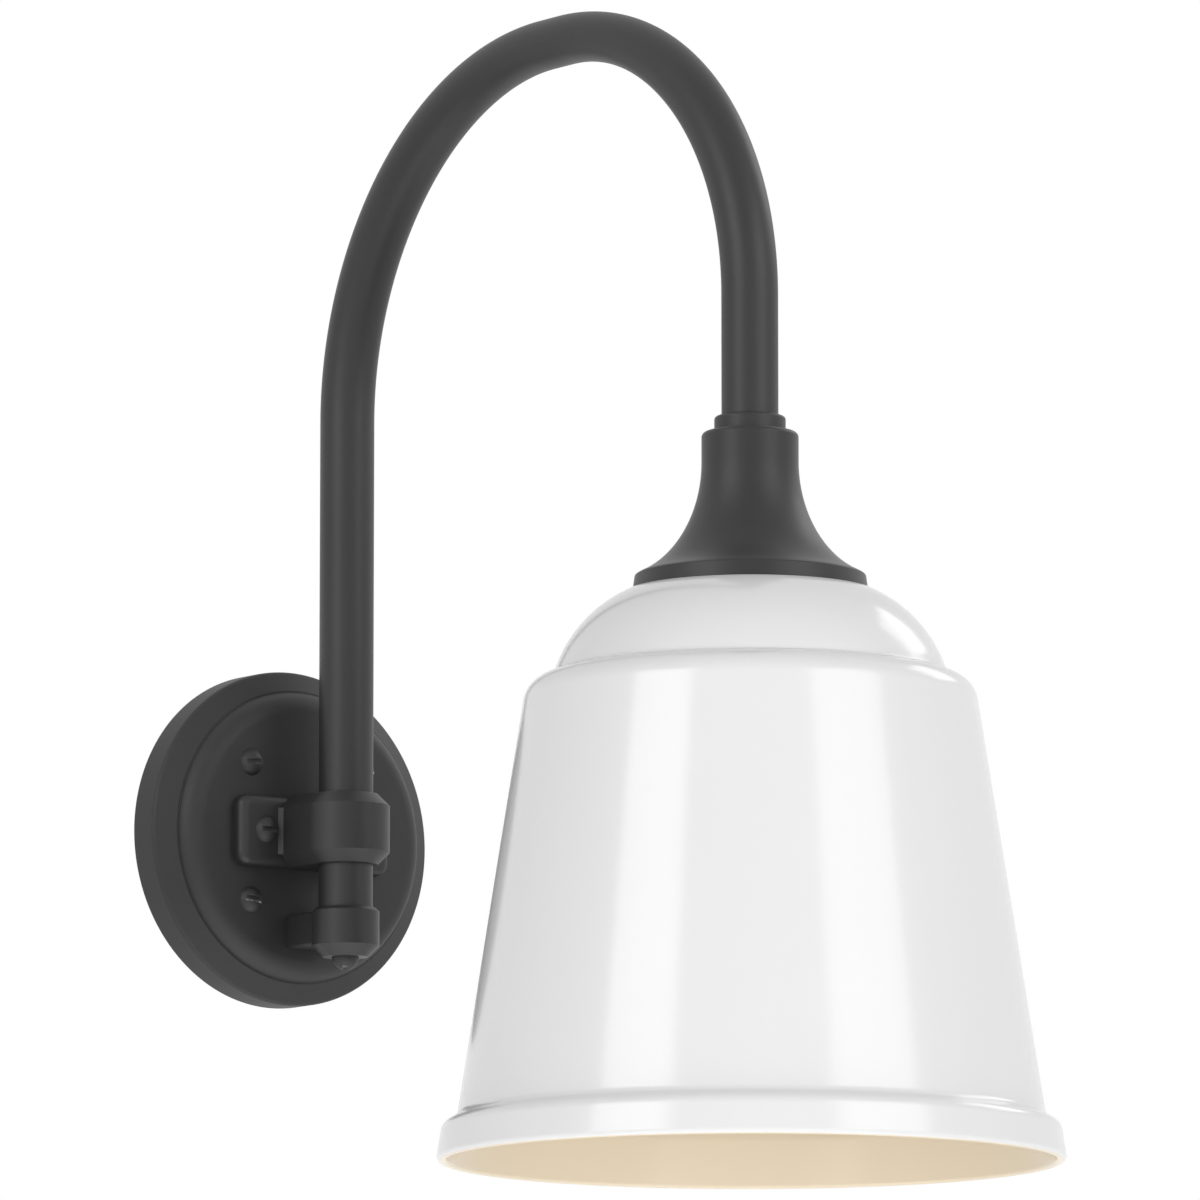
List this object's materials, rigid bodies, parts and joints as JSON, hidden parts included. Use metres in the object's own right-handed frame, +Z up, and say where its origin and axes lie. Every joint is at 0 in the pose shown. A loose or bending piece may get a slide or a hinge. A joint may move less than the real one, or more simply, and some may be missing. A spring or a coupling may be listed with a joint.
{
  "type": "barn light",
  "caption": "Gooseneck wall light: round wall plate, swinging tube arm, trumpet fitter and a deep stepped enamel shade over a medium screw lamp socket.",
  "frame": {"origin": "centre of the wall plate's back, on the wall", "axes": "+X right as seen from the room, -Y out from the wall towards the room, +Z up"},
  "size_m": [0.218, 0.3956, 0.4216],
  "materials": {
    "black_coat": "matte black powder coat on cast and tube metal",
    "black_screw": "blackened slotted screws, bare in the slots",
    "white_enamel": "gloss white enamel outside, warm cream inside",
    "zinc_steel": "bright zinc plate",
    "green_screw": "green passivated earthing screw",
    "porcelain": "white glazed porcelain",
    "brass": "pressed brass",
    "plain_aluminium": "spun, bare",
    "ivory_plastic": "moulded insulating plastic",
    "black_wire": "black insulated lead",
    "white_wire": "white insulated lead"
  },
  "bodies": {
    "bracket": {"wall_plate": "black_coat", "mounting_plate": "zinc_steel", "plate_screws": "black_screw", "ground_screw": "green_screw", "saddle": "black_coat", "saddle_screws": "black_screw", "foot_bracket": "black_coat", "foot_screws": "zinc_steel", "thrust_washer": "zinc_steel", "wire_bushing": "ivory_plastic", "terminal_block": "ivory_plastic", "terminal_block_screws": "zinc_steel", "wall_lead_live": "black_wire", "wall_lead_neutral": "white_wire"},
    "arm": {"arm_tube": "black_coat", "tube_plug": "zinc_steel", "pivot_screw": "black_screw", "arm_lead_live": "black_wire", "arm_lead_neutral": "white_wire", "slip_collar": "black_coat", "collar_set_screw": "black_screw", "neck_fitter": "black_coat", "tube_insert": "zinc_steel", "nipple": "zinc_steel", "lock_washer": "zinc_steel", "locknut": "zinc_steel", "shade": "white_enamel", "shade_clamp_ring": "zinc_steel", "clamp_screws": "zinc_steel", "socket_cap": "plain_aluminium", "socket_body": "porcelain", "screw_shell": "brass", "centre_contact": "brass", "socket_terminals": "brass"}
  },
  "joints": [
    {"name": "arm_swivel", "type": "hinge", "parent": "bracket", "child": "arm", "pos_m": [0, -0.047, 0], "axis": [0, 0, 1], "range_deg": [-60, 60]}
  ]
}
